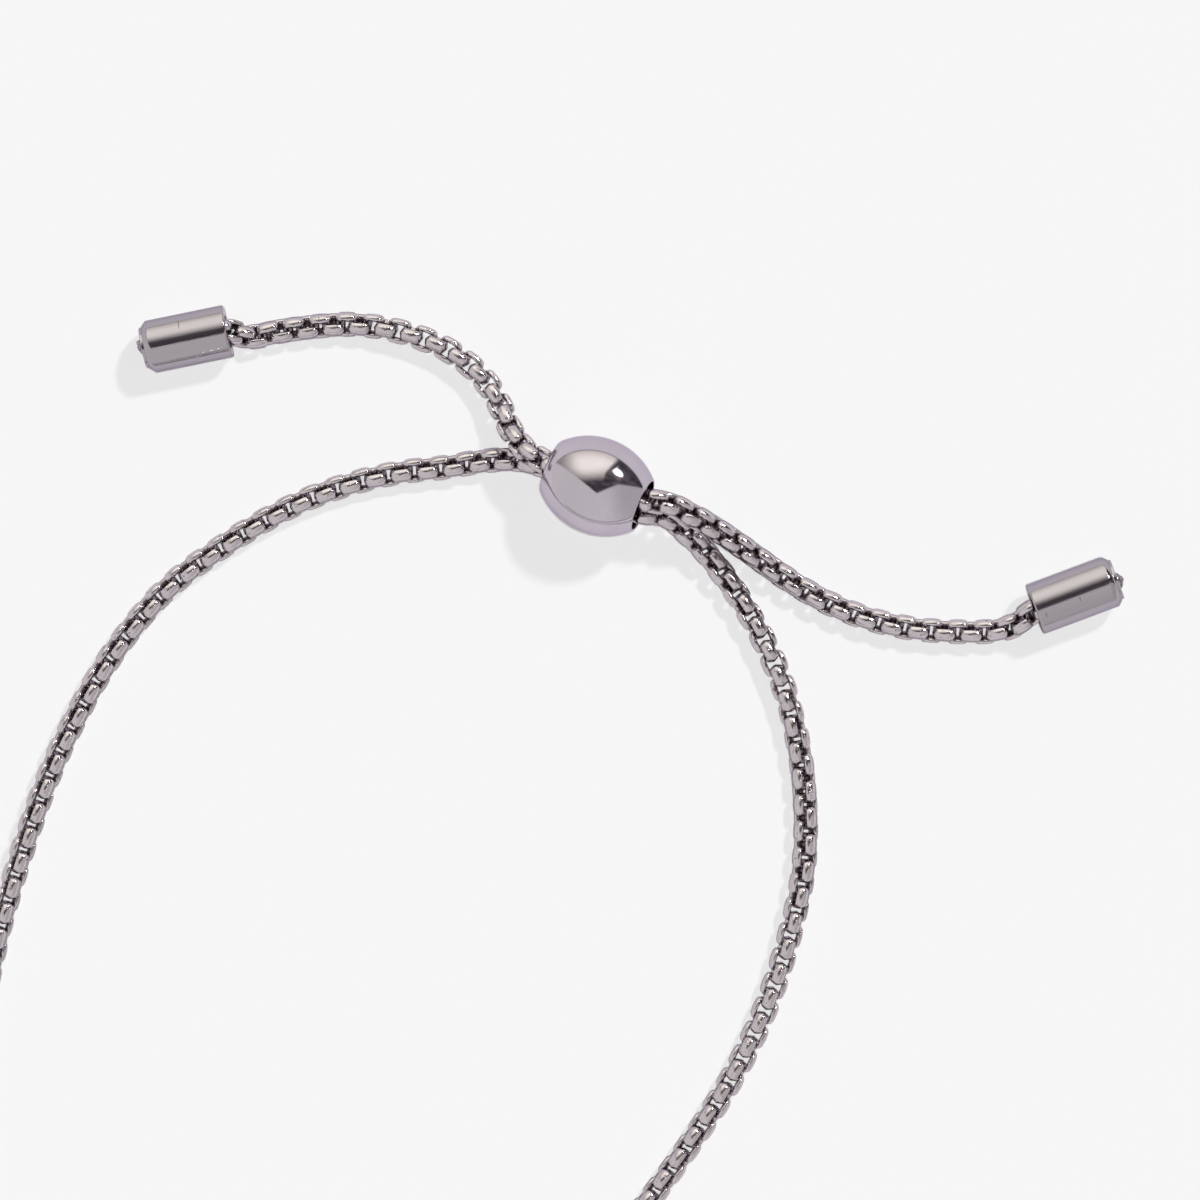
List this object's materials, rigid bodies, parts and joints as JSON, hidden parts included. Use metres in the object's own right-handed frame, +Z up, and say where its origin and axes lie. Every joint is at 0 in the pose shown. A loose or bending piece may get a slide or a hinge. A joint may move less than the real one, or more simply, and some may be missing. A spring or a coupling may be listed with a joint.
{
  "type": "bolo slider bracelet",
  "caption": "Adjustable bracelet lying flat: a fine round box chain, its ends crossed through a polished barrel slider bead and finished with small cylindrical end caps.",
  "frame": {"origin": "middle of the bracelet's outline seen from above, on the surface that it lies on", "axes": "+Z up from the surface, +Y across the loop towards the bead, +X towards the right end cap"},
  "size_m": [0.0824, 0.0778, 0.0069],
  "materials": {
    "bead_steel": "polished",
    "core_rubber": "matt",
    "chain_steel": "tumbled",
    "cap_steel": "satin"
  },
  "bodies": {
    "root": {"slider_bead": "bead_steel", "grip_core": "core_rubber", "chain": "chain_steel", "end_cap_left": "cap_steel", "end_cap_right": "cap_steel"}
  },
  "joints": []
}
